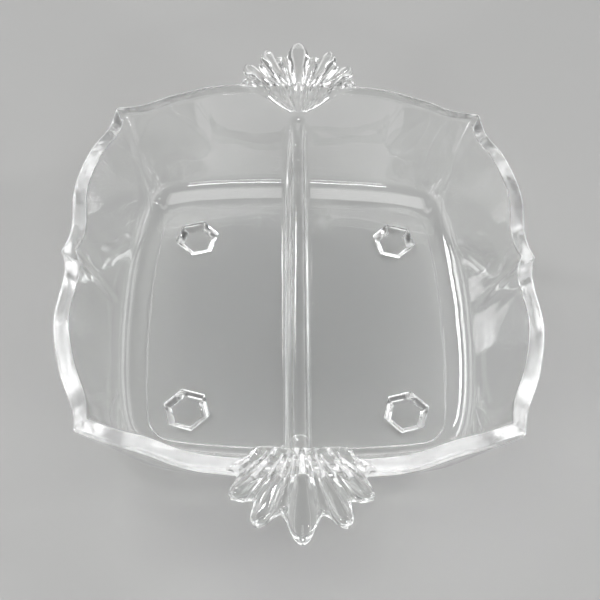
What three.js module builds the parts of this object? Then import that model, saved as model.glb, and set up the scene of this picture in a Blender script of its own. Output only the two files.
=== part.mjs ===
// Footed candy dish of clear pressed glass, with two compartments.
//
// Millimetres, +Z up. The origin lies on the table under the middle of the dish, +X points to the
// right-hand compartment and +Y to the back handle. A square bowl with a scalloped, flaring rim
// stands on hexagonal feet. A low divider crosses it, and runs up at each end into a fan of petals
// that hooks over the rim and serves as a handle.

import * as THREE from "three";

// Heights, and the gap that is kept between one member and the next
const FOOT_HEIGHT = 4;
const FLOOR_THICKNESS = 5;
const RIM_HEIGHT = 42.5;
const JOINT_GAP = 0.3;

// Wall of the bowl, with a fully rounded rim: its thickness, and the radii outside and inside
// where it rises from the floor
const WALL = 4.6;
const HEEL_RADIUS = 13;
const FLOOR_FILLET = 9;

// Plan of the flat underside, a square with bowed sides and small round corners
const BASE_HALF = 50;
const BASE_BOW = 3.4;
const BASE_SQUARENESS = 16;

// Plan of the rim. Each side swells to a lobe on either hand of its middle, and draws in to a
// corner. The left and right sides have a point at the middle, the ends carry the handles.
const RIM_HALF_WIDTH = 72.9;
const RIM_HALF_LENGTH = 75.8;
const CORNER_X = 62.6;
const CORNER_Y = 62.6;
const SIDE_POINT_OUT = 0.9;
const POINT_FLANK_AT = 4;
const POINT_FLANK_IN = 0.5;
const SIDE_DIP_AT = 11;
const SIDE_DIP_IN = 1.1;
const SIDE_LOBE_AT = 26;
const END_LOBE_AT = 14;
const END_MIDDLE_IN = 0.2;
const END_FLANK_AT = 30;
const END_FLANK_IN = 1.6;
const SHOULDER_AT = 42;
const SIDE_SHOULDER_IN = 3.4;
const END_SHOULDER_IN = 5.9;
const SWALE_AT = 54;
const SIDE_SWALE_OUT = 2;
const END_SWALE_OUT = 2.9;

// The rim also dips a little at each swale
const RIM_DIP = 1.3;
const RIM_DIP_HALF = 10;

// Divider: its height over the floor, its half widths, and the sweep up to the handles
const DIVIDER_HEIGHT = 22;
const DIVIDER_HALF_TOP = 2.5;
const DIVIDER_HALF_FOOT = 3.6;
const DIVIDER_ROUND = 2.4;
const DIVIDER_FILLET = 1.6;
const DIVIDER_SWEEP = 11;
const DIVIDER_SWEEP_RISE = 2.5;

// Feet: hexagonal buttons, with one corner of each towards the corner of the dish. A steep collar
// stands under the floor, and a bevel draws in from its foot to the sole.
const FOOT_HALF_SPACING = 35;
const FOOT_RADIUS = 7.7;
const COLLAR_FOOT_RADIUS = 7.2;
const BEVEL_HEIGHT = 2.4;
const SOLE_RADIUS = 5;
const FOOT_SIDES = 6;

// Fan handles, from the middle petal to the outermost one: the turn of each petal's middle, of its
// near and far edges and of the notch beyond it, and how far each reaches past the crown of the rim
const PETAL_TURNS = [0, 22.3, 42.2, 55.8];
const PETAL_NEAR_TURNS = [-8.5, 17, 36, 51.5];
const PETAL_FAR_TURNS = [8.5, 28, 48, 61.5];
const NOTCH_TURNS = [13, 32.2, 49.6];
const PETAL_REACHES = [22.6, 19.3, 13.3, 3.6];
const PETAL_NEAR_REACHES = [16.4, 16.2, 12.9, 5.2];
const PETAL_FAR_REACHES = [16.4, 16.8, 9.4, 0.6];
const NOTCH_REACHES = [14.7, 12.2, 6];
const PETAL_ROUNDNESS = 1.7;
const FAN_THICKNESS = 1.8;
const PETAL_CROWN = 1.3;
const RIB_CROWN = 0.5;
const CROWN_RUN_IN = 10;
const TIP_ROUND = 3.5;
const TIP_EDGE = 0.8;
const FAN_HUB = 1.2;

// Fineness of the curved surfaces
const HALF_SIDE_COLUMNS = 14;
const ARC_STEPS = 4;
const RIM_STEPS = 6;
const PETAL_STEPS = [-1, -0.7, -0.35, 0, 0.35, 0.7, 1];
const FAN_WALL_STEPS = 2;
const FAN_BEND_STEPS = 3;
const PETAL_LENGTH_STEPS = 3;
const TIP_STEPS = 3;

const UNDERSIDE = FOOT_HEIGHT;
const FLOOR_TOP = UNDERSIDE + FLOOR_THICKNESS;
const DIVIDER_END_TOP = FLOOR_TOP + DIVIDER_HEIGHT + DIVIDER_SWEEP_RISE;

// Closed solid through rings of equally many points. The end triangles close its first ring, and
// the other way round its last one.
function loft(rings, endTriangles) {
  const count = rings[0].length;
  const index = [];
  for (let row = 0; row + 1 < rings.length; row++) {
    for (let i = 0; i < count; i++) {
      const here = row * count + i;
      const next = row * count + ((i + 1) % count);
      index.push(here, next, next + count, here, next + count, here + count);
    }
  }
  const last = (rings.length - 1) * count;
  for (const [a, b, c] of endTriangles) {
    index.push(c, b, a, last + a, last + b, last + c);
  }
  const geometry = new THREE.BufferGeometry().setFromPoints(rings.flat());
  geometry.setIndex(index);
  return geometry;
}

// Triangles across a ring that runs out along one row of points and back along a second row
function stripEnd(ring) {
  const triangles = [];
  for (let i = 0; i < ring.length / 2 - 1; i++) {
    const back = ring.length - 1 - i;
    triangles.push([i, i + 1, back], [i + 1, back - 1, back]);
  }
  return triangles;
}

// Values in even steps from one to another, both included
function sweep(from, to, steps) {
  return Array.from({ length: steps + 1 }, (_, i) => from + ((to - from) * i) / steps);
}

// One column of the wall: where it starts on the underside, and where and how high its rim is
function wallColumn(along, out, corner, isEnd) {
  const share = along / corner;
  const rounding = (1 + share ** BASE_SQUARENESS) ** (1 / BASE_SQUARENESS);
  const reach = (BASE_HALF - BASE_BOW * share ** 2) / rounding;
  const rim = isEnd ? new THREE.Vector2(along, out) : new THREE.Vector2(out, along);
  const base = isEnd ? new THREE.Vector2(reach * share, reach) : new THREE.Vector2(reach, reach * share);
  const offSwale = Math.min(1, Math.abs(along - SWALE_AT) / RIM_DIP_HALF);
  const top = RIM_HEIGHT - RIM_DIP * Math.cos((offSwale * Math.PI) / 2) ** 2;
  return { base, rim, top };
}

// Columns of half a side, from its middle to the corner, through [along, out] points of the rim
function halfSide(points, corner, isEnd) {
  const curve = new THREE.SplineCurve(points.map(([along, out]) => new THREE.Vector2(along, out)));
  return curve.getSpacedPoints(HALF_SIDE_COLUMNS).map(({ x, y }) => wallColumn(x, y, corner, isEnd));
}

function mirrored({ base, rim, top }, x, y) {
  const factor = new THREE.Vector2(x, y);
  return { base: base.clone().multiply(factor), rim: rim.clone().multiply(factor), top };
}

// Columns all round the bowl, from its back right corner anticlockwise
function wallColumns() {
  const side = halfSide([
    [0, RIM_HALF_WIDTH + SIDE_POINT_OUT],
    [POINT_FLANK_AT, RIM_HALF_WIDTH - POINT_FLANK_IN],
    [SIDE_DIP_AT, RIM_HALF_WIDTH - SIDE_DIP_IN],
    [SIDE_LOBE_AT, RIM_HALF_WIDTH],
    [SHOULDER_AT, RIM_HALF_WIDTH - SIDE_SHOULDER_IN],
    [SWALE_AT, CORNER_X + SIDE_SWALE_OUT],
    [CORNER_Y, CORNER_X],
  ], CORNER_Y, false);
  const end = halfSide([
    [0, RIM_HALF_LENGTH - END_MIDDLE_IN],
    [END_LOBE_AT, RIM_HALF_LENGTH],
    [END_FLANK_AT, RIM_HALF_LENGTH - END_FLANK_IN],
    [SHOULDER_AT, RIM_HALF_LENGTH - END_SHOULDER_IN],
    [SWALE_AT, CORNER_Y + END_SWALE_OUT],
    [CORNER_X, CORNER_Y],
  ], CORNER_X, true);
  const quarter = [...side, ...end.reverse().slice(1)];
  const next = quarter.slice(0, -1).reverse().map((column) => mirrored(column, -1, 1));
  const half = [...quarter, ...next].slice(0, -1);
  const round = [...half, ...half.map((column) => mirrored(column, -1, -1))];
  return [...round.slice(HALF_SIDE_COLUMNS), ...round.slice(0, HALF_SIDE_COLUMNS)];
}

const COLUMNS = wallColumns();
const END_COLUMN = COLUMNS[HALF_SIDE_COLUMNS];

// Shape of one column in its upright plane, with reach counted outwards from the underside's edge.
// The wall's outer face is the line that touches both the heel's arc and the rim's, and its inner
// face runs beside it down to the fillet at the floor.
function wallShape({ base, rim, top }) {
  const outward = rim.clone().sub(base);
  const width = outward.length();
  outward.divideScalar(width);
  const rimReach = width - WALL / 2;
  const rimCentre = top - WALL / 2;
  const rise = rimCentre - UNDERSIDE - HEEL_RADIUS;
  const apart = Math.hypot(rimReach, rise);
  const slope = Math.atan2(rise, rimReach) + Math.asin((HEEL_RADIUS - WALL / 2) / apart);
  const innerFoot = rimReach - WALL / 2 / Math.sin(slope) - (rimCentre - FLOOR_TOP) / Math.tan(slope);
  const floorEdge = innerFoot - FLOOR_FILLET * Math.tan(slope / 2);
  return { outward, rimReach, rimCentre, slope, floorEdge };
}

// Section of one column as [reach, height] points, up the outside, over the rim and down the
// inside to the floor, moved out of the glass by grow
function wallSection(column, grow) {
  const { rimReach, rimCentre, slope, floorEdge } = wallShape(column);
  const arc = (reach, height, radius, turns) => turns.map((turn) => [
    reach + radius * Math.sin(turn),
    height - radius * Math.cos(turn),
  ]);
  return [
    ...arc(0, UNDERSIDE + HEEL_RADIUS, HEEL_RADIUS + grow, sweep(0, slope, ARC_STEPS)),
    ...arc(rimReach, rimCentre, WALL / 2 + grow, sweep(slope, slope + Math.PI, RIM_STEPS)),
    ...arc(floorEdge, FLOOR_TOP + FLOOR_FILLET, FLOOR_FILLET - grow, sweep(slope, 0, ARC_STEPS)),
  ];
}

function bowl() {
  const sections = COLUMNS.map((column) => {
    const { outward } = wallShape(column);
    return wallSection(column, 0).map(([reach, height]) => {
      const plan = column.base.clone().addScaledVector(outward, reach);
      return new THREE.Vector3(plan.x, plan.y, height);
    });
  });
  const rings = sections[0].map((_, row) => sections.map((section) => section[row]));
  return loft(rings, stripEnd(rings[0]));
}

// Distance from the middle of the dish to the end wall at a height, one joint gap inside the glass
function endWallReach(height) {
  const inside = wallSection(END_COLUMN, JOINT_GAP).slice(-ARC_STEPS - 2).reverse();
  const above = inside.findIndex((point) => point[1] > height);
  if (above === 0) {
    return BASE_HALF + inside[0][0];
  }
  const [[lowReach, low], [highReach, high]] = [inside[above - 1], inside[above]];
  return BASE_HALF + lowReach + ((highReach - lowReach) * (height - low)) / (high - low);
}

// Outline of the divider, as seen along it, where its top has risen by lift
function dividerOutline(lift) {
  const side = DIVIDER_HEIGHT + lift - DIVIDER_ROUND;
  const outline = new THREE.Shape();
  outline.moveTo(DIVIDER_HALF_FOOT + DIVIDER_FILLET, 0);
  outline.quadraticCurveTo(DIVIDER_HALF_FOOT, 0, DIVIDER_HALF_FOOT, DIVIDER_FILLET);
  outline.lineTo(DIVIDER_HALF_TOP, side);
  outline.absellipse(0, side, DIVIDER_HALF_TOP, DIVIDER_ROUND, 0, Math.PI, false, 0);
  outline.lineTo(-DIVIDER_HALF_FOOT, DIVIDER_FILLET);
  outline.quadraticCurveTo(-DIVIDER_HALF_FOOT, 0, -DIVIDER_HALF_FOOT - DIVIDER_FILLET, 0);
  return outline.getPoints(ARC_STEPS);
}

// Divider on the floor, from end wall to end wall
function divider() {
  const endTop = endWallReach(DIVIDER_END_TOP);
  const rings = [];
  const addRing = (direction, swept, reachAt) => {
    const outline = dividerOutline(DIVIDER_SWEEP_RISE * swept ** 2);
    rings.push(outline.map((point) => {
      const height = FLOOR_TOP + point.y;
      return new THREE.Vector3(point.x, direction * reachAt(height), height);
    }));
  };
  const sweeps = sweep(0, 1, ARC_STEPS).slice(0, -1);
  const sweptReach = (swept) => (height) => (
    Math.min(endTop - DIVIDER_SWEEP * (1 - swept), endWallReach(height))
  );
  addRing(1, 1, endWallReach);
  sweeps.toReversed().forEach((swept) => addRing(1, swept, sweptReach(swept)));
  sweeps.forEach((swept) => addRing(-1, swept, sweptReach(swept)));
  addRing(-1, 1, endWallReach);
  const contour = rings[0].map((point) => new THREE.Vector2(point.x, point.z));
  return loft(rings, THREE.ShapeUtils.triangulateShape(contour, []));
}

// Sheet that the fan lies on, seen from the side: up the inner face of the end wall from the hinge
// over the divider's end, round the rim to its crown, and level outwards
function fanSpine() {
  const { rimReach, rimCentre, slope } = wallShape(END_COLUMN);
  const rimMiddle = BASE_HALF + rimReach;
  const wallTop = rimCentre + (WALL / 2) * Math.cos(slope);
  const wallLength = (wallTop - DIVIDER_END_TOP - JOINT_GAP) / Math.sin(slope);
  const crown = wallLength + (WALL / 2) * slope;
  const at = (along, lift) => {
    const turn = Math.min(slope, Math.max(0, (crown - along) / (WALL / 2)));
    const radius = WALL / 2 + lift;
    const below = Math.max(0, wallLength - along);
    const beyond = Math.max(0, along - crown);
    return {
      reach: rimMiddle - radius * Math.sin(turn) - below * Math.cos(slope) + beyond,
      height: rimCentre + radius * Math.cos(turn) - below * Math.sin(slope),
    };
  };
  return { wallLength, crown, at };
}

// Lines of the fan from its hinge outwards: the turn, the reach and the crown of each
function fanLines() {
  const half = [];
  PETAL_TURNS.forEach((middle, i) => {
    for (const step of PETAL_STEPS.filter((value) => i > 0 || value >= 0)) {
      const side = Math.abs((step < 0 ? PETAL_NEAR_TURNS : PETAL_FAR_TURNS)[i] - middle);
      const edge = (step < 0 ? PETAL_NEAR_REACHES : PETAL_FAR_REACHES)[i];
      half.push({
        turn: middle + step * side,
        reach: edge + (PETAL_REACHES[i] - edge) * (1 - Math.abs(step) ** PETAL_ROUNDNESS),
        crown: PETAL_CROWN * Math.sqrt(1 - step * step),
      });
    }
    if (i < NOTCH_TURNS.length) {
      half.push({ turn: NOTCH_TURNS[i], reach: NOTCH_REACHES[i], crown: RIB_CROWN });
    }
  });
  const other = half.slice(1).reverse().map((line) => ({ ...line, turn: -line.turn }));
  return [...other, ...half];
}

// Places along one line of the fan, and how much of the thickness each has as the tip rounds off
function fanPlaces({ turn, reach }, { wallLength, crown }) {
  const slant = 1 / Math.cos(THREE.MathUtils.degToRad(turn));
  const tipRound = Math.min(TIP_ROUND, reach / 2);
  const tipStart = crown * slant + reach - tipRound;
  const whole = [
    ...sweep(FAN_HUB, wallLength, FAN_WALL_STEPS).map((along) => along * slant),
    ...sweep(wallLength, crown, FAN_BEND_STEPS).slice(1).map((along) => along * slant),
    ...sweep(crown * slant, tipStart, PETAL_LENGTH_STEPS).slice(1),
  ].map((out) => ({ out, share: 1 }));
  const tip = sweep(0, Math.PI / 2, TIP_STEPS).slice(1).map((angle) => (
    { out: tipStart + tipRound * Math.sin(angle), share: Math.cos(angle) }
  ));
  return [...whole, ...tip];
}

// Back handle: a sheet that lies one joint gap over the wall and the rim, with crowned petals
function fanHandle() {
  const spine = fanSpine();
  const lines = fanLines().map((line) => {
    const angle = THREE.MathUtils.degToRad(line.turn);
    return fanPlaces(line, spine).map(({ out, share }) => {
      const full = FAN_THICKNESS + line.crown * Math.min(1, out / CROWN_RUN_IN);
      const point = (lift) => {
        const { reach, height } = spine.at(out * Math.cos(angle), lift);
        return new THREE.Vector3(out * Math.sin(angle), reach, height);
      };
      const thickness = TIP_EDGE + (full - TIP_EDGE) * share;
      return { lower: point(JOINT_GAP), upper: point(JOINT_GAP + thickness) };
    });
  });
  const rings = lines[0].map((_, row) => [
    ...lines.map((line) => line[row].upper),
    ...lines.map((line) => line[row].lower).reverse(),
  ]);
  return loft(rings, stripEnd(rings[0]));
}

// Foot: a six-sided button that narrows to its sole, with a corner towards +X
function foot() {
  const ring = (radius, height) => sweep(0, 2 * Math.PI, FOOT_SIDES).slice(1).map((turn) => (
    new THREE.Vector3(radius * Math.cos(turn), radius * Math.sin(turn), height)
  ));
  const rings = [
    ring(SOLE_RADIUS, 0),
    ring(COLLAR_FOOT_RADIUS, BEVEL_HEIGHT),
    ring(FOOT_RADIUS, FOOT_HEIGHT),
  ];
  return loft(rings, stripEnd(rings[0]));
}

function glassPart(name, geometry) {
  const glass = new THREE.MeshStandardMaterial({
    color: 0xe8efec,
    roughness: 0.05,
    metalness: 0,
    transparent: true,
    opacity: 0.35,
  });
  const mesh = new THREE.Mesh(geometry, glass);
  mesh.name = name;
  return mesh;
}

const dish = new THREE.Group();
dish.add(glassPart("bowl", bowl()));
dish.add(glassPart("divider", divider()));

for (const [end, turn] of [["back", 0], ["front", Math.PI]]) {
  const handle = glassPart(`${end}_fan_handle`, fanHandle());
  handle.rotation.z = turn;
  dish.add(handle);
}

for (const [end, y] of [["front", -FOOT_HALF_SPACING], ["back", FOOT_HALF_SPACING]]) {
  for (const [side, x] of [["left", -FOOT_HALF_SPACING], ["right", FOOT_HALF_SPACING]]) {
    const button = glassPart(`${end}_${side}_foot`, foot());
    button.position.set(x, y, 0);
    button.rotation.z = Math.atan2(y, x);
    dish.add(button);
  }
}

export default dish;
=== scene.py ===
import math

import bmesh
import bpy
from mathutils import Matrix, Vector


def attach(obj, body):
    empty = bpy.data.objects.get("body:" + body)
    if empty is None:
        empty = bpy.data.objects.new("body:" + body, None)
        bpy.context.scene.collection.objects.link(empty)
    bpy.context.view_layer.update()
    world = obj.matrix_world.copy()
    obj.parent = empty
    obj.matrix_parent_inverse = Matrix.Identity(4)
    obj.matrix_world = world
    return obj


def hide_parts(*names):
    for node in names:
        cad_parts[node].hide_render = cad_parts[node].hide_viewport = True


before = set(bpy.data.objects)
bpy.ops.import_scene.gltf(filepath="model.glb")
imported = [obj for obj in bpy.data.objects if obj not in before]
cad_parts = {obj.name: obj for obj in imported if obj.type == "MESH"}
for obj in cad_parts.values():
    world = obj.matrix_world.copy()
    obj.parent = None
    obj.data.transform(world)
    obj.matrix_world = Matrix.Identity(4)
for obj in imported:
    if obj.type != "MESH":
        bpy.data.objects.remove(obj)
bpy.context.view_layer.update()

# The dish is one pressing of clear glass, so it is modelled here as one fused body. It follows the
# solids, with a slightly thicker wall and a flatter rim. Sizes are in millimetres unless a comment says
# otherwise, and MM turns them into the scene's metres.
MM = 0.001

# Heights, wall, and the rounds of the rim's two edges
FOOT_HEIGHT = 4
FLOOR_TOP = 9
RIM_HEIGHT = 42.5
WALL = 5
RIM_INNER_ROUND = 0.7
RIM_OUTER_ROUND = 1.2
HEEL_RADIUS = 13
FLOOR_FILLET = 9

# The base panel stands a little below the heel, with a fine step round it, as (inwards, up) points
PANEL_STEP = [(0.3, 0.58), (0.55, 0.48), (0.95, 0.1), (1.2, 0), (1.6, 0)]
HEEL_HEIGHT = 4.6

# Plan of the underside, a square with bowed sides and small round corners
BASE_HALF = 50
BASE_BOW = 3.4
BASE_SQUARENESS = 16

# Plan of the rim through (along, out) points from mid-side to corner, and its dip beside each corner
CORNER = 62.6
SIDE_RIM = [(0, 73.8), (4, 72.4), (11, 71.8), (26, 72.9), (42, 69.5), (54, 64.6), (CORNER, CORNER)]
END_RIM = [(0, 75.6), (14, 75.8), (30, 74.2), (42, 69.9), (54, 65.5), (CORNER, CORNER)]
SWALE_AT = 54
RIM_DIP = 1.3
RIM_DIP_HALF = 10

# Ripples of the walls, from the height where they start to where they are gone again
RIPPLE_LENGTH = 20
RIPPLE_DEPTH = 0.15
RIPPLE_FROM = 10
RIPPLE_TO = 36

# Divider: its top, its half widths, its rounds, and the sweep up to the fans
DIVIDER_TOP = 31
DIVIDER_HALF_TOP = 2.5
DIVIDER_HALF_FOOT = 3.6
DIVIDER_ROUND = 2.4
DIVIDER_FILLET = 1.6
DIVIDER_SWEEP_FROM = 56
DIVIDER_SWEEP = 11
DIVIDER_SWEEP_RISE = 2.5
DIVIDER_BLEND = 1.4

# Fans: height of the hinge that their lines run from, where the lines start, and where the rim's crown is
FAN_HINGE = 34.95
FAN_HUB = 1.2
FAN_CROWN_AT = 73.3

# Outline of a fan, from the middle petal outwards: turns in degrees of the petals' middles, of their
# edges and of the notches beyond them, and how far each reaches past the crown of the rim
PETAL_TURNS = [0, 22.3, 42.2, 55.8]
PETAL_EDGE_TURNS = [(-8.5, 8.5), (17, 28), (36, 48), (51.5, 61.5)]
NOTCH_TURNS = [13, 32.2, 49.6]
PETAL_REACHES = [22.6, 19.3, 13.3, 3.6]
PETAL_EDGE_REACHES = [(16.4, 16.4), (16.2, 16.8), (12.9, 9.4), (5.2, 0.6)]
NOTCH_REACHES = [14.7, 12.2, 6]
PETAL_ROUNDNESS = 1.7
NOTCH_ROUNDNESS = 1.6

# Section of a fan: heights over the wall and the rim, the drop of the gables from ridge to shoulder,
# the shoulders as shares of the half width, and the stretches in which petals and ribs rise
FAN_SUNK = 0.8
VALLEY = 0.5
PETAL_CREST = 3.2
PETAL_GABLE = 0.55
PETAL_SHOULDER = 0.5
PETAL_BELLY = 0.5
RIB_CREST = 2.6
RIB_GABLE = 0.15
RIB_SHOULDER = 0.4
FLANK_BLEND = 0.5
HUB_RUN_IN = 2.5
PETAL_RUN_IN = (0, 9)
RIB_RUN_IN = (6, 15)

# Lengths of the rounded tips, and where their edge lies as a share of the thickness
PETAL_TIPS = [4.5, 3.4, 3.2, 2]
NOTCH_TIP = 1.8
TIP_EDGE_SHARE = 0.35

# Feet: hexagonal buttons with a steep collar and a bevel, and a root that reaches into the floor
FOOT_AT = 35
FOOT_RADIUS = 7.7
COLLAR_FOOT_RADIUS = 7.2
BEVEL_HEIGHT = 2.4
SOLE_RADIUS = 5
FOOT_ROOT = 1.6
FOOT_SIDES = 6

# Places along the ends and the sides where the lines of the mesh run, from the middle to the corner. On
# the ends they are straight beside the divider. Those of petals and ribs are shares of the half width.
END_LINES = [0, 0.8, 1.5, 2, 2.3, 2.5, 2.75, 3.05, 3.35, 3.6, 4, 4.5, 5.2, 6.4, 8.2, 10.5, 13.5, 17, 21,
             25, 29, 33, 37, 41, 45, 48.5, 51.5, 54.2, 56.6, 58.7, 60.4, 61.7, CORNER]
SIDE_LINES = [0, 0.8, 1.8, 3, 4.5, 6.5, 9, 12, 15.5, 19, 23, 27, 31, 35, 39, 43, 46.5, 49.7, 52.5, 55,
              57.3, 59.3, 60.9, 62, CORNER]
STRAIGHT_LINES = 8.2
PETAL_LINES = [0, 0.1, 0.22, 0.33, 0.41, 0.48, 0.55, 0.62, 0.71, 0.81, 0.91, 1]
RIB_LINES = [0, 0.18, 0.32, 0.44, 0.58, 0.78, 1]

# Share of the floor and the underside, from the middle, in which the lines keep their distance
SHEET_STRAIGHT = 0.2

# Steps of the wall's section, from the floor up the inside, over the rim and down the outside
FILLET_STEPS = 7
INNER_FACE_STEPS = 11
INNER_EDGE_STEPS = 4
OUTER_EDGE_STEPS = 5
OUTER_FACE_STEPS = 7
HEEL_STEPS = 6

# Rings of the wall at the start and end of its inner face, and at the end of the rim's inner edge. The
# divider lifts those that lie before the middle of that edge.
FACE_START = FILLET_STEPS
FACE_END = FACE_START + INNER_FACE_STEPS
EDGE_END = FACE_END + INNER_EDGE_STEPS
DIVIDER_RINGS = FACE_END + INNER_EDGE_STEPS // 2

# Rows of a fan where it starts to bend over the rim's edge, to run outwards and to round off at the tip
WALL_ROWS = 8
BEND_ROWS = 8
PETAL_ROWS = 16
TIP_ROWS = 8
BEND_FROM = WALL_ROWS
PETAL_FROM = BEND_FROM + BEND_ROWS
TIP_FROM = PETAL_FROM + PETAL_ROWS
LAST_ROW = TIP_FROM + TIP_ROWS

# Points this close are welded, and edges of the fused body are at least this long
WELD_DISTANCE = 0.002
SHORTEST_EDGE = 0.003

# Decimals by which a point is known again, how often a search halves its range, how far a face that
# looks up may lean, and the angle in degrees from which an edge is sharp
SPOT_DECIMALS = 2
HALVINGS = 30
LOOKS_UP = 0.9
SHARP_ANGLE = 38

# Glass: colour, bending of light, and the (scale, detail) of the noises for its polish, its scuffs and
# its ripples. Each range of noise is graded to a range of roughness.
GLASS_COLOUR = (0.985, 0.992, 0.988, 1)
GLASS_IOR = 1.5
POLISH_NOISE = (140, 4)
POLISH_RANGE = (0.45, 0.8)
POLISH_ROUGHNESS = (0.005, 0.06)
SCUFF_NOISE = (110, 0.5)
SCUFF_RANGE = (0.3, 0.7)
WEAR_ROUGHNESS = (0.17, 0.21)
RIPPLE_NOISE = (55, 1.5)
RIPPLE_STRENGTH = 0.04
RIPPLE_BUMP = 1

# Wear of the rim between these heights, which grows as the glass faces more upwards, and of the soles
WORN_RIM = (40.6, 42.7)
WORN_FACING = (0.65, 0.95)
SOLE_WEAR = 0.5
SOLE_WEAR_HEIGHT = 0.5

# Floor, just under the soles
FLOOR_SIZE = 6000
FLOOR_DROP = 0.3
FLOOR_COLOUR = (0.37, 0.37, 0.366, 1)
FLOOR_ROUGHNESS = 0.7

# Soft lights: place and size in metres, watts, and turn about the beam in degrees
SOFT_LIGHTS = {
    "key_softbox": ((-0.72, 0.77, 0.74), (0.6, 0.08), 3.8, -41),
    "fill_softbox": ((0.95, 0.1, 0.7), (0.1, 0.2), 2.5, 0),
    "front_softbox": ((0.1, -1.1, 0.6), (0.3, 0.06), 2, 0),
    "left_strip": ((-0.95, -0.65, 0.2), (0.08, 0.3), 5, 0),
    "right_strip": ((0.95, -0.65, 0.2), (0.08, 0.3), 5, 0),
    "top_softbox": ((0, -0.2, 1.2), (1.1, 1.1), 9, 0),
}
LIGHTS_AIM = (0, 0, 0.03)

# White tent round the table: its brightness low down and overhead, how much of it is left on the near
# side, and between which heights and depths of the tent each of them changes
TENT_HEIGHTS = (0.05, 0.4)
TENT_BRIGHTNESS = (4, 0.24)
TENT_DEPTHS = (-0.9, 0)
TENT_SHARES = (0.35, 1)

# Camera: place in metres, turns in degrees, lens and sensor
CAMERA_PLACE = (-0.00983, -0.2036, 0.30045)
CAMERA_TURNS = [("Y", -2.16), ("X", 35.71), ("Z", -0.48)]
CAMERA_LENS = 63.64
CAMERA_SENSOR = 36

# How often light is followed through the glass
BOUNCES = 24
GLOSSY_BOUNCES = 20


def choose(piece):
    bpy.ops.object.select_all(action="DESELECT")
    piece.select_set(True)
    bpy.context.view_layer.objects.active = piece


def apply_modifier(piece, kind, **settings):
    choose(piece)
    modifier = piece.modifiers.new(kind.lower(), kind)
    for name, value in settings.items():
        setattr(modifier, name, value)
    bpy.ops.object.modifier_apply(modifier=modifier.name)


def steps(start, end, count):
    return [start + (end - start) * i / count for i in range(count + 1)]


def both_ways(lines):
    return [-x for x in reversed(lines[1:])] + lines


# Place between 0 and 1 where a growing value comes to a target
def place_of(target, value):
    low, high = 0.0, 1.0
    for _ in range(HALVINGS):
        middle = (low + high) / 2
        low, high = (middle, high) if value(middle) < target else (low, middle)
    return low


# Larger of two values, with a smooth change from one to the other
def soft_max(a, b, blend):
    near = max(blend - abs(a - b), 0) / blend
    return max(a, b) + near * near * blend / 4


# Distance out of the rim at a place along its side, on a smooth curve through the points
def rim_out(points, along):
    along = abs(along)
    n = 0
    while n < len(points) - 2 and points[n + 1][0] < along:
        n += 1
    p0, p1, p2, p3 = (Vector(points[min(max(n + k, 0), len(points) - 1)]) for k in (-1, 0, 1, 2))
    v0, v1 = (p2 - p0) / 2, (p3 - p1) / 2

    def at(t):
        cubed, squared = 2 * p1 - 2 * p2 + v0 + v1, 3 * p2 - 3 * p1 - 2 * v0 - v1
        return cubed * t**3 + squared * t**2 + v0 * t + p1

    return at(place_of(along, lambda t: at(t).x)).y


# Height of the rim at a distance from mid-side, lower in the swales beside the corners
def rim_top(size):
    off_swale = min(1, abs(size - SWALE_AT) / RIM_DIP_HALF)
    return RIM_HEIGHT - RIM_DIP * math.cos(off_swale * math.pi / 2) ** 2


# Reach of the underside's edge on a slant from the middle, which is 0 to mid-side and 1 to the corner
def base_reach(slant):
    return (BASE_HALF - BASE_BOW * slant**2) / (1 + slant**BASE_SQUARENESS) ** (1 / BASE_SQUARENESS)


# Slant on which the underside's edge has come a distance along from mid-side
def base_slant(foot):
    return place_of(foot, lambda slant: base_reach(slant) * slant)


# Where one column of the wall starts on the underside, and where its rim is
def column_plan(along, is_end, side):
    size = abs(along)
    if is_end:
        beyond = max(0, size - STRAIGHT_LINES) / (CORNER - STRAIGHT_LINES)
        foot = size - (CORNER - base_reach(1)) * beyond**2
        base = (math.copysign(foot, along), side * base_reach(base_slant(foot)))
        rim = (along, side * rim_out(END_RIM, along))
    else:
        reach = base_reach(size / CORNER)
        base = (side * reach, reach * along / CORNER)
        rim = (side * rim_out(SIDE_RIM, along), along)
    return Vector(base), Vector(rim)


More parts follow.
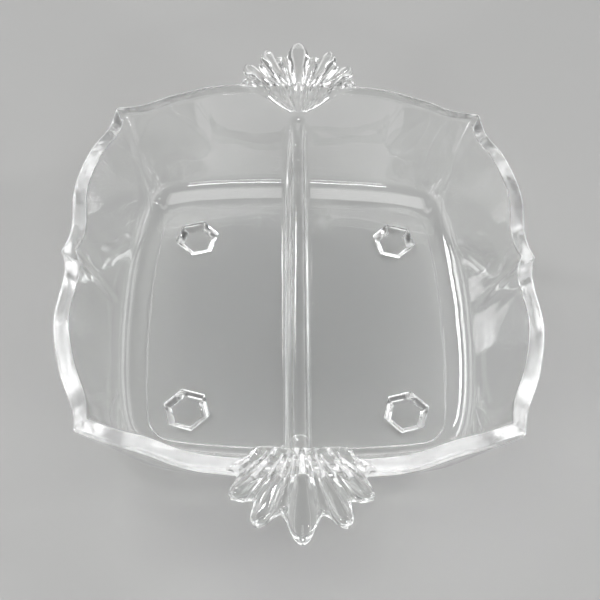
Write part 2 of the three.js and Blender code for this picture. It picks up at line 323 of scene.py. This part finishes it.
# Section of the wall as (reach, height) points, from the flat floor up the inside, over the rim and down
# to the underside. The reach is counted outwards from the underside's edge.
def wall_section(width, top):
    rim_reach, rim_centre = width - WALL / 2, top - WALL / 2
    rise = rim_centre - HEEL_HEIGHT - HEEL_RADIUS
    apart = math.hypot(rim_reach, rise)
    slope = math.atan2(rise, rim_reach) + math.asin((HEEL_RADIUS - WALL / 2) / apart)
    inner_foot = rim_reach - WALL / 2 / math.sin(slope) - (rim_centre - FLOOR_TOP) / math.tan(slope)
    floor_edge = inner_foot - FLOOR_FILLET * math.tan(slope / 2)
    inner_in, outer_in = WALL / 2 - RIM_INNER_ROUND, WALL / 2 - RIM_OUTER_ROUND
    inner_edge = rim_reach - inner_in * math.sin(slope) + inner_in * math.tan(slope / 2) * math.cos(slope)
    outer_edge = rim_reach + outer_in * math.sin(slope) + outer_in / math.tan(slope / 2) * math.cos(slope)
    overhang = max(0, outer_edge + RIM_OUTER_ROUND - width)

    def arc(reach, height, radius, start, end, count):
        turns = steps(start, end, count)
        return [(reach + radius * math.sin(turn), height - radius * math.cos(turn)) for turn in turns]

    def face(a, b, count):
        return [(a[0] + (b[0] - a[0]) * s, a[1] + (b[1] - a[1]) * s) for s in steps(0, 1, count)[1:-1]]

    fillet = arc(floor_edge, FLOOR_TOP + FLOOR_FILLET, FLOOR_FILLET, 0, slope, FILLET_STEPS)
    crown = arc(inner_edge - overhang, top - RIM_INNER_ROUND, RIM_INNER_ROUND,
                slope + math.pi, math.pi, INNER_EDGE_STEPS)
    crown += [((inner_edge + outer_edge) / 2 - overhang, top)]
    crown += arc(outer_edge - overhang, top - RIM_OUTER_ROUND, RIM_OUTER_ROUND,
                 math.pi, slope, OUTER_EDGE_STEPS)
    heel = arc(0, HEEL_HEIGHT + HEEL_RADIUS, HEEL_RADIUS, slope, 0, HEEL_STEPS)
    inside = fillet + face(fillet[-1], crown[0], INNER_FACE_STEPS)
    outside = face(crown[-1], heel[0], OUTER_FACE_STEPS) + heel
    return inside + crown + outside + [(-inward, FOOT_HEIGHT + up) for inward, up in PANEL_STEP]


def wall_column(along, is_end, side):
    base, rim = column_plan(along, is_end, side)
    width = (rim - base).length
    outward = (rim - base) / width
    section = wall_section(width, rim_top(abs(along)))
    return [Vector((*(base + outward * reach), height)) for reach, height in section]


# The divider rises out of the floor and runs up the end walls, with a fillet along its foot
def with_divider(point):
    x, y = abs(point.x), abs(point.y)
    if x >= DIVIDER_HALF_FOOT + DIVIDER_FILLET:
        return point
    ridge = min(x / DIVIDER_HALF_TOP, 1)
    swept = max(0, y - DIVIDER_SWEEP_FROM) / DIVIDER_SWEEP
    top = DIVIDER_TOP + DIVIDER_SWEEP_RISE * swept**2 - DIVIDER_ROUND * (1 - math.sqrt(1 - ridge**2))
    foot_share = DIVIDER_FILLET / (DIVIDER_TOP - FLOOR_TOP)
    if x <= DIVIDER_HALF_TOP:
        share = 1
    elif x <= DIVIDER_HALF_FOOT:
        share = 1 - (1 - foot_share) * (x - DIVIDER_HALF_TOP) / (DIVIDER_HALF_FOOT - DIVIDER_HALF_TOP)
    else:
        share = foot_share * (1 - (x - DIVIDER_HALF_FOOT) / DIVIDER_FILLET) ** 2
    return Vector((point.x, point.y, point.z + soft_max(top - point.z, 0, DIVIDER_BLEND) * share))


# Columns of the wall by their places (i, j) on the edge of the floor's grid
end_lines, side_lines = both_ways(END_LINES), both_ways(SIDE_LINES)
LAST_I, LAST_J = len(end_lines) - 1, len(side_lines) - 1
columns = {}
for i, along in enumerate(end_lines):
    columns[i, 0] = wall_column(along, True, -1)
    columns[i, LAST_J] = wall_column(along, True, 1)
for j, along in enumerate(side_lines[1:-1], start=1):
    columns[0, j] = wall_column(along, False, -1)
    columns[LAST_I, j] = wall_column(along, False, 1)
RINGS = len(columns[0, 0])


def ring_point(spot, ring):
    point = columns[spot][ring]
    return with_divider(point) if ring < DIVIDER_RINGS else point


# A level sheet inside one ring of the bowl, whose middle lines stay straight
def sheet_point(i, j, ring):
    if (i, j) in columns:
        return ring_point((i, j), ring)
    end, side = columns[i, LAST_J][ring], columns[LAST_I, j][ring]
    corner = columns[LAST_I, LAST_J][ring]

    def bowed(place, edge, limit):
        share = max(0, abs(place) / limit - SHEET_STRAIGHT) / (1 - SHEET_STRAIGHT)
        return place + math.copysign((edge - limit) * share**2, place)

    point = Vector((bowed(end.x, side.x, corner.x), bowed(side.y, end.y, corner.y), end.z))
    return with_divider(point) if ring < DIVIDER_RINGS else point


# A flat grid whose points are then set one by one to their places, given in millimetres
def add_grid(name, last_i, last_j, point):
    bpy.ops.mesh.primitive_grid_add(x_subdivisions=last_i, y_subdivisions=last_j, size=2)
    grid = bpy.context.object
    grid.name = name
    for v in grid.data.vertices:
        v.co = point(v.index % (last_i + 1), v.index // (last_i + 1)) * MM
    return grid


def weld(piece, other):
    choose(piece)
    other.select_set(True)
    bpy.ops.object.join()
    bpy.ops.object.mode_set(mode="EDIT")
    bpy.ops.mesh.select_all(action="SELECT")
    bpy.ops.mesh.remove_doubles(threshold=WELD_DISTANCE * MM)
    bpy.ops.mesh.normals_make_consistent(inside=False)
    bpy.ops.object.mode_set(mode="OBJECT")


def spot_key(point):
    return tuple(round(c / MM, SPOT_DECIMALS) for c in point)


# Slow ripples that the hot glass took from the mould, on the walls alone
def ripple_walls(bowl):
    walls = bowl.vertex_groups.new(name="walls")
    for v in bowl.data.vertices:
        height = (v.co.z / MM - RIPPLE_FROM) / (RIPPLE_TO - RIPPLE_FROM)
        on_wall = abs(v.co.x / MM) > DIVIDER_HALF_FOOT + DIVIDER_FILLET
        walls.add([v.index], max(0, 4 * height * (1 - height)) * on_wall, "REPLACE")
    ripple = bpy.data.textures.new("ripple", "CLOUDS")
    ripple.noise_scale = RIPPLE_LENGTH * MM
    ripple.noise_depth = 1
    apply_modifier(bowl, "DISPLACE", texture=ripple, texture_coords="LOCAL", vertex_group="walls",
                   strength=RIPPLE_DEPTH * MM, mid_level=0.5)
    bowl.vertex_groups.clear()


# Bowl: the floor's edge is extruded ring by ring up the wall, over the rim and under the heel
def make_bowl():
    underside = add_grid("underside", LAST_I, LAST_J, lambda i, j: sheet_point(i, j, RINGS - 1))
    bowl = add_grid("pressed_glass_dish", LAST_I, LAST_J, lambda i, j: sheet_point(i, j, 0))
    spots = {spot_key(ring_point(spot, 0) * MM): spot for spot in columns}
    choose(bowl)
    bpy.ops.object.mode_set(mode="EDIT")
    bpy.ops.mesh.select_mode(type="EDGE")
    bpy.ops.mesh.select_all(action="DESELECT")
    bpy.ops.mesh.select_non_manifold(extend=False)
    for ring in range(1, RINGS):
        bpy.ops.mesh.extrude_edges_move()
        mesh = bmesh.from_edit_mesh(bowl.data)
        moved = {}
        for v in mesh.verts:
            if v.select:
                spot = spots[spot_key(v.co)]
                v.co = ring_point(spot, ring) * MM
                moved[spot_key(v.co)] = spot
        spots = moved
        bmesh.update_edit_mesh(bowl.data)
    bpy.ops.object.mode_set(mode="OBJECT")
    weld(bowl, underside)
    apply_modifier(bowl, "SUBSURF", levels=1, render_levels=1)
    ripple_walls(bowl)
    return bowl


# Sheet that the fan lies on, up the inner face of the end wall, round the rim's edge and level outwards
def fan_spine():
    column = wall_column(0, True, 1)
    below, foot, edge = (column[n].yz for n in (FACE_START, FACE_END, EDGE_END))
    rise = (foot - below).normalized()
    slope = math.atan2(rise.y, rise.x)
    centre = Vector((edge.x, edge.y - RIM_INNER_ROUND))
    wall_length = (foot.y - FAN_HINGE) / rise.y
    bend_end = wall_length + RIM_INNER_ROUND * slope
    crown = bend_end + FAN_CROWN_AT - edge.x

    def at(along, lift):
        turn = min(slope, max(0, (bend_end - along) / RIM_INNER_ROUND))
        out = Vector((-math.sin(turn), math.cos(turn)))
        point = centre + out * (RIM_INNER_ROUND + lift) - rise * max(0, wall_length - along)
        return point.x + max(0, along - bend_end), point.y

    return wall_length, bend_end, crown, at


# Rise of a petal or rib over its foot, at a share of the way from its ridge down to the foot
def ridge_rise(share, crest, gable, shoulder):
    flank = (crest - gable) * (1 - share) / (1 - shoulder)
    return max(0, -soft_max(gable * share / shoulder - crest, -flank, FLANK_BLEND)) if share < 1 else 0


# Lines of the fan from its hinge outwards: turn, reach, height of the foot, rise over it and the stretch
# in which that grows, height of the bottom, and length of the rounded tip. A petal has a low gable
# between its shoulders, a rib is narrower.
def fan_lines():
    half = []
    for i, middle in enumerate(PETAL_TURNS):
        for q in both_ways(PETAL_LINES):
            if i == 0 and q < 0:
                continue
            share = abs(q)
            edge_turn = PETAL_EDGE_TURNS[i][q > 0]
            edge_reach = PETAL_EDGE_REACHES[i][q > 0]
            foot = -FAN_SUNK if i + 1 == len(PETAL_TURNS) and q > 0 else VALLEY
            half.append((middle + share * (edge_turn - middle),
                         edge_reach + (PETAL_REACHES[i] - edge_reach) * (1 - share**PETAL_ROUNDNESS),
                         foot, ridge_rise(share, PETAL_CREST - foot, PETAL_GABLE, PETAL_SHOULDER),
                         PETAL_RUN_IN, -FAN_SUNK - PETAL_BELLY * math.sqrt(1 - q * q), PETAL_TIPS[i]))
        if i < len(NOTCH_TURNS):
            for q in both_ways(RIB_LINES)[1:-1]:
                share = abs(q)
                edge_turn = PETAL_EDGE_TURNS[i + 1][0] if q > 0 else PETAL_EDGE_TURNS[i][1]
                edge_reach = PETAL_EDGE_REACHES[i + 1][0] if q > 0 else PETAL_EDGE_REACHES[i][1]
                half.append((NOTCH_TURNS[i] + share * (edge_turn - NOTCH_TURNS[i]),
                             NOTCH_REACHES[i] + (edge_reach - NOTCH_REACHES[i]) * share**NOTCH_ROUNDNESS,
                             VALLEY, ridge_rise(share, RIB_CREST - VALLEY, RIB_GABLE, RIB_SHOULDER),
                             RIB_RUN_IN, -FAN_SUNK, NOTCH_TIP))
    return [(-turn, *rest) for turn, *rest in reversed(half[1:])] + half


# One fan of petals: two sheets, the upper one with crests, that meet along the fan's edge
def make_fan(name, way):
    wall_length, bend_end, crown, at = fan_spine()
    lines = fan_lines()

    def place(k, row):
        turn, reach, foot, rise, run_in, bottom, tip_round = lines[k]
        slant = 1 / math.cos(math.radians(turn))
        tip_round = min(tip_round, reach / 2)
        tip_start = crown * slant + reach - tip_round
        share = 1
        if row <= BEND_FROM:
            out = (FAN_HUB + (wall_length - FAN_HUB) * row / WALL_ROWS) * slant
        elif row <= PETAL_FROM:
            out = (wall_length + (bend_end - wall_length) * (row - BEND_FROM) / BEND_ROWS) * slant
        elif row <= TIP_FROM:
            out = bend_end * slant + (tip_start - bend_end * slant) * (row - PETAL_FROM) / PETAL_ROWS
        else:
            angle = (row - TIP_FROM) / TIP_ROWS * math.pi / 2
            out, share = tip_start + tip_round * math.sin(angle), math.cos(angle)
        rise *= min(1, max(0, (out - run_in[0]) / (run_in[1] - run_in[0])))
        from_hub = min(1, (out - FAN_HUB * slant) / HUB_RUN_IN)
        top = -FAN_SUNK + (foot + FAN_SUNK) * from_hub * (2 - from_hub) + rise
        if row == 0 or k in (0, len(lines) - 1):
            top = bottom = -FAN_SUNK
        middle = bottom + (top - bottom) * TIP_EDGE_SHARE
        return math.radians(turn), out, middle + (top - middle) * share, middle + (bottom - middle) * share

    def point(k, row, upper):
        turn, out, top, bottom = place(k, row)
        reach, height = at(out * math.cos(turn), top if upper else bottom)
        return Vector((way * out * math.sin(turn), way * reach, height))

    upper = add_grid(name, len(lines) - 1, LAST_ROW, lambda k, row: point(k, row, True))
    lower = add_grid(name + "_back", len(lines) - 1, LAST_ROW, lambda k, row: point(k, row, False))
    weld(upper, lower)
    return upper


# Foot: a six-sided button with a bevel below its collar, whose root reaches into the floor
def make_foot(x, y):
    rise = FOOT_HEIGHT + FOOT_ROOT - BEVEL_HEIGHT
    spread = (FOOT_RADIUS - COLLAR_FOOT_RADIUS) / (FOOT_HEIGHT - BEVEL_HEIGHT)
    widen = 1 + spread * rise / COLLAR_FOOT_RADIUS
    bpy.ops.object.select_all(action="DESELECT")
    bpy.ops.mesh.primitive_cone_add(
        vertices=FOOT_SIDES, radius1=SOLE_RADIUS * MM, radius2=COLLAR_FOOT_RADIUS * MM,
        depth=BEVEL_HEIGHT * MM, location=(x * MM, y * MM, BEVEL_HEIGHT / 2 * MM),
        rotation=(0, 0, math.atan2(y, x) - math.pi / 2))
    foot = bpy.context.object
    bpy.ops.object.transform_apply(location=True, rotation=True, scale=True)
    bpy.ops.object.mode_set(mode="EDIT")
    bpy.ops.mesh.select_mode(type="FACE")
    bpy.ops.mesh.select_all(action="DESELECT")
    mesh = bmesh.from_edit_mesh(foot.data)
    for side in mesh.faces:
        side.select_set(side.normal.z > LOOKS_UP)
    bmesh.update_edit_mesh(foot.data)
    bpy.ops.mesh.extrude_region_move(TRANSFORM_OT_translate={"value": (0, 0, rise * MM)})
    bpy.ops.transform.resize(value=(widen, widen, 1))
    bpy.ops.object.mode_set(mode="OBJECT")
    return foot


# The seams of the fused body lose their shortest edges, and points that only divide an edge
def tidy_seams(dish):
    choose(dish)
    bpy.ops.object.mode_set(mode="EDIT")
    bpy.ops.mesh.select_mode(type="VERT")
    bpy.ops.mesh.select_all(action="SELECT")
    bpy.ops.mesh.dissolve_degenerate(threshold=SHORTEST_EDGE * MM)
    bpy.ops.mesh.select_all(action="DESELECT")
    mesh = bmesh.from_edit_mesh(dish.data)
    for v in mesh.verts:
        v.select_set(len(v.link_edges) == 2)
    bmesh.update_edit_mesh(dish.data)
    bpy.ops.mesh.dissolve_verts()
    bpy.ops.object.mode_set(mode="OBJECT")


# Share of wear at each point: on the rim where it faces up, and where the soles stand on the table
def mark_wear(dish):
    wear = dish.data.attributes.new("wear", "FLOAT", "POINT")
    for v in dish.data.vertices:
        x, y, z = (c / MM for c in v.co)
        if max(abs(x), abs(y)) > BASE_HALF and WORN_RIM[0] < z < WORN_RIM[1]:
            facing_up = (v.normal.z - WORN_FACING[0]) / (WORN_FACING[1] - WORN_FACING[0])
            wear.data[v.index].value = min(1, max(0, facing_up))
        else:
            wear.data[v.index].value = SOLE_WEAR if z < SOLE_WEAR_HEIGHT else 0


# The members are fused into one body of glass
def make_dish():
    dish = make_bowl()
    members = [make_fan("back_fan", 1), make_fan("front_fan", -1)]
    members += [make_foot(x, y) for x in (-FOOT_AT, FOOT_AT) for y in (-FOOT_AT, FOOT_AT)]
    for member in members:
        apply_modifier(dish, "BOOLEAN", object=member, operation="UNION", solver="EXACT")
        bpy.data.objects.remove(member)
    tidy_seams(dish)
    mark_wear(dish)
    choose(dish)
    bpy.ops.object.shade_smooth_by_angle(angle=math.radians(SHARP_ANGLE))
    return dish


dish = make_dish()
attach(dish, "root")
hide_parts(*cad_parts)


# A node that grades a value from one range to another
def graded(nodes, start, end):
    grade = nodes.new("ShaderNodeMapRange")
    grade.inputs["From Min"].default_value, grade.inputs["From Max"].default_value = start
    grade.inputs["To Min"].default_value, grade.inputs["To Max"].default_value = end
    return grade


# Clear glass with the faint ripple of a pressing, and a little wear in its polish
def clear_glass():
    material = bpy.data.materials.new("clear_glass")
    material.use_nodes = True
    nodes, links = material.node_tree.nodes, material.node_tree.links
    shader = nodes["Principled BSDF"]
    shader.inputs["Base Color"].default_value = GLASS_COLOUR
    shader.inputs["Transmission Weight"].default_value = 1
    shader.inputs["IOR"].default_value = GLASS_IOR
    place = nodes.new("ShaderNodeTexCoord")

    def noise(scale, detail):
        texture = nodes.new("ShaderNodeTexNoise")
        texture.inputs["Scale"].default_value = scale
        texture.inputs["Detail"].default_value = detail
        links.new(place.outputs["Object"], texture.inputs["Vector"])
        return texture

    polish = noise(*POLISH_NOISE)
    spread = graded(nodes, POLISH_RANGE, POLISH_ROUGHNESS)
    wear = nodes.new("ShaderNodeAttribute")
    wear.attribute_name = "wear"
    scuffs = noise(*SCUFF_NOISE)
    scuffed = graded(nodes, SCUFF_RANGE, WEAR_ROUGHNESS)
    dulled = nodes.new("ShaderNodeMath")
    dulled.operation = "MULTIPLY_ADD"
    ripple = noise(*RIPPLE_NOISE)
    bump = nodes.new("ShaderNodeBump")
    bump.inputs["Strength"].default_value = RIPPLE_STRENGTH
    bump.inputs["Distance"].default_value = RIPPLE_BUMP * MM
    links.new(polish.outputs["Fac"], spread.inputs["Value"])
    links.new(scuffs.outputs["Fac"], scuffed.inputs["Value"])
    links.new(wear.outputs["Fac"], dulled.inputs[0])
    links.new(scuffed.outputs["Result"], dulled.inputs[1])
    links.new(spread.outputs["Result"], dulled.inputs[2])
    links.new(dulled.outputs["Value"], shader.inputs["Roughness"])
    links.new(ripple.outputs["Fac"], bump.inputs["Height"])
    links.new(bump.outputs["Normal"], shader.inputs["Normal"])
    return material


dish.data.materials.clear()
dish.data.materials.append(clear_glass())


def pale_floor():
    bpy.ops.object.select_all(action="DESELECT")
    bpy.ops.mesh.primitive_plane_add(size=FLOOR_SIZE * MM, location=(0, 0, -FLOOR_DROP * MM))
    floor = bpy.context.object
    floor.name = "floor"
    material = bpy.data.materials.new("pale_floor")
    material.use_nodes = True
    shader = material.node_tree.nodes["Principled BSDF"]
    shader.inputs["Base Color"].default_value = FLOOR_COLOUR
    shader.inputs["Roughness"].default_value = FLOOR_ROUGHNESS
    floor.data.materials.append(material)


pale_floor()


def soft_light(name, place, size, power, roll):
    data = bpy.data.lights.new(name, "AREA")
    data.shape = "RECTANGLE"
    data.size, data.size_y = size
    data.energy = power
    light = bpy.data.objects.new(name, data)
    bpy.context.scene.collection.objects.link(light)
    light.location = place
    light.rotation_euler = (Vector(LIGHTS_AIM) - Vector(place)).to_track_quat("-Z", "Y").to_euler()
    light.rotation_euler.rotate_axis("Z", math.radians(roll))


for name, settings in SOFT_LIGHTS.items():
    soft_light(name, *settings)


# White tent round the table, brightest low down, so that the edges of the glass shine
def light_tent():
    world = bpy.data.worlds.new("light_tent")
    bpy.context.scene.world = world
    world.use_nodes = True
    nodes, links = world.node_tree.nodes, world.node_tree.links
    place = nodes.new("ShaderNodeTexCoord")
    parts = nodes.new("ShaderNodeSeparateXYZ")
    by_height = graded(nodes, TENT_HEIGHTS, TENT_BRIGHTNESS)
    by_depth = graded(nodes, TENT_DEPTHS, TENT_SHARES)
    both = nodes.new("ShaderNodeMath")
    both.operation = "MULTIPLY"
    nodes["Background"].inputs["Color"].default_value = (1, 1, 1, 1)
    links.new(place.outputs["Generated"], parts.inputs["Vector"])
    links.new(parts.outputs["Z"], by_height.inputs["Value"])
    links.new(parts.outputs["Y"], by_depth.inputs["Value"])
    links.new(by_height.outputs["Result"], both.inputs[0])
    links.new(by_depth.outputs["Result"], both.inputs[1])
    links.new(both.outputs["Value"], nodes["Background"].inputs["Strength"])


light_tent()


def add_camera():
    data = bpy.data.cameras.new("camera")
    data.lens = CAMERA_LENS
    data.sensor_width = CAMERA_SENSOR
    camera = bpy.data.objects.new("camera", data)
    bpy.context.scene.collection.objects.link(camera)
    turn = Matrix.Identity(4)
    for axis, degrees in CAMERA_TURNS:
        turn = turn @ Matrix.Rotation(math.radians(degrees), 4, axis)
    camera.matrix_world = Matrix.Translation(CAMERA_PLACE) @ turn
    bpy.context.scene.camera = camera


add_camera()

studio = bpy.context.scene
studio.view_settings.view_transform = "Standard"
studio.cycles.blur_glossy = 0
studio.cycles.max_bounces = BOUNCES
studio.cycles.glossy_bounces = GLOSSY_BOUNCES
studio.cycles.transmission_bounces = BOUNCES
